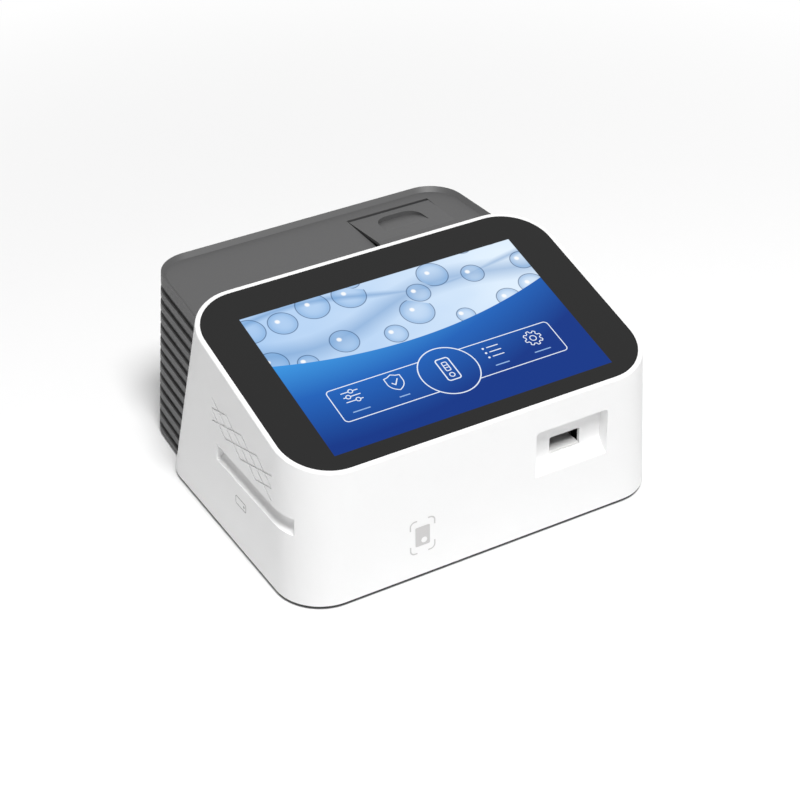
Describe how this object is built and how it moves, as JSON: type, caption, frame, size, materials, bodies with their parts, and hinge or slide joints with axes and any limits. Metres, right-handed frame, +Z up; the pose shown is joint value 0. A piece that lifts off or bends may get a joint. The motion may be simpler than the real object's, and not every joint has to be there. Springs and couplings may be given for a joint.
{
  "type": "rapid test reader",
  "caption": "Bench-top rapid test reader: white wedge shell with a large tilted touch screen, cassette slot, card channel and a dark ribbed rear housing with a printer lid.",
  "frame": {"origin": "on the table, under the middle of the reader's box", "axes": "+X to the reader's right, +Y from its front to its back, +Z up"},
  "size_m": [0.292, 0.2644, 0.1479],
  "materials": {
    "white_shell": "satin moulded",
    "dark_shell": "fine moulded grain",
    "dark_plate": "matte moulded",
    "rubber": "matte",
    "black_glass": "polished, black border printed behind",
    "foam": "matte",
    "panel": "lit display",
    "steel": "plated",
    "ribbon": "flexible film",
    "black_plastic": "matte moulded",
    "white_carrier": "satin moulded",
    "brass": "turned",
    "nylon": "moulded",
    "motor_metal": "drawn can",
    "aluminium": "anodised",
    "lens_glass": "polished",
    "board": "solder mask",
    "ceramic": "glazed",
    "paper": "thermal paper"
  },
  "bodies": {
    "case": {"front_housing": "white_shell", "rear_housing": "dark_shell", "base_plate": "dark_plate", "rubber_feet": "rubber", "cover_glass": "black_glass", "display_gasket": "foam", "display_panel": "panel", "display_frame": "steel", "display_screws": "steel", "display_cable": "ribbon", "reader_frame": "black_plastic", "guide_rods": "steel", "carrier_motor": "motor_metal", "optical_head": "aluminium", "objective_lens": "lens_glass", "optics_board": "board", "home_sensor": "black_plastic", "printer_frame": "black_plastic", "lid_hinge_pin": "steel", "printer_motor": "motor_metal", "print_head": "ceramic", "head_bracket": "aluminium", "head_spring": "steel", "tear_bar": "steel", "main_board": "board", "board_standoffs": "brass", "board_chips": "black_plastic", "heatsink": "aluminium", "coin_cell": "steel", "board_screws": "steel", "card_reader_board": "board", "card_antenna": "brass", "fan_frame": "black_plastic", "fan_screws": "steel", "speaker": "black_plastic", "port_board": "board", "usb_sockets": "steel", "network_socket": "steel", "serial_socket": "steel", "power_inlet": "black_plastic", "power_switch": "black_plastic", "housing_screws": "steel"},
    "carrier": {"cassette_carrier": "white_carrier", "carrier_bushes": "brass", "carrier_rack": "nylon"},
    "pinion": {"carrier_pinion": "nylon", "pinion_shaft": "steel"},
    "lid": {"printer_lid": "dark_shell", "platen_bushes": "nylon"},
    "platen": {"platen_roller": "rubber", "platen_shaft": "steel", "platen_gear": "nylon"},
    "feed_gear": {"motor_gear": "nylon"},
    "paper": {"paper_roll": "paper"},
    "fan": {"fan_rotor": "black_plastic"},
    "rocker": {"power_rocker": "black_plastic"}
  },
  "joints": [
    {"name": "carrier_slide", "type": "slide", "parent": "case", "child": "carrier", "axis": [0, 1, 0], "range_m": [0, 0.05]},
    {"name": "pinion_spin", "type": "hinge", "parent": "case", "child": "pinion", "pos_m": [0.0663, -0.05, 0.031], "axis": [-1, 0, 0], "range_deg": [0, 318.5]},
    {"name": "lid_hinge", "type": "hinge", "parent": "case", "child": "lid", "pos_m": [0.066, 0.1145, 0.1261], "axis": [-1, 0, 0], "range_deg": [0, 85]},
    {"name": "platen_spin", "type": "hinge", "parent": "lid", "child": "platen", "pos_m": [0.064, 0.064, 0.1205], "axis": [1, 0, 0], "continuous": true},
    {"name": "feed_spin", "type": "hinge", "parent": "case", "child": "feed_gear", "pos_m": [0.092, 0.064, 0.1079], "axis": [1, 0, 0], "continuous": true},
    {"name": "roll_spin", "type": "hinge", "parent": "case", "child": "paper", "pos_m": [0.066, 0.092, 0.0904], "axis": [1, 0, 0], "continuous": true},
    {"name": "fan_spin", "type": "hinge", "parent": "case", "child": "fan", "pos_m": [-0.06, 0.12, 0.09], "axis": [0, 1, 0], "continuous": true},
    {"name": "rocker_tilt", "type": "hinge", "parent": "case", "child": "rocker", "pos_m": [0.068, 0.1276, 0.028], "axis": [1, 0, 0], "range_deg": [0, 16]}
  ],
  "couplings": [
    {"joint": "pinion_spin", "follows": "carrier_slide", "rad_per_m": 111.11},
    {"joint": "feed_spin", "follows": "platen_spin", "ratio": -1}
  ]
}
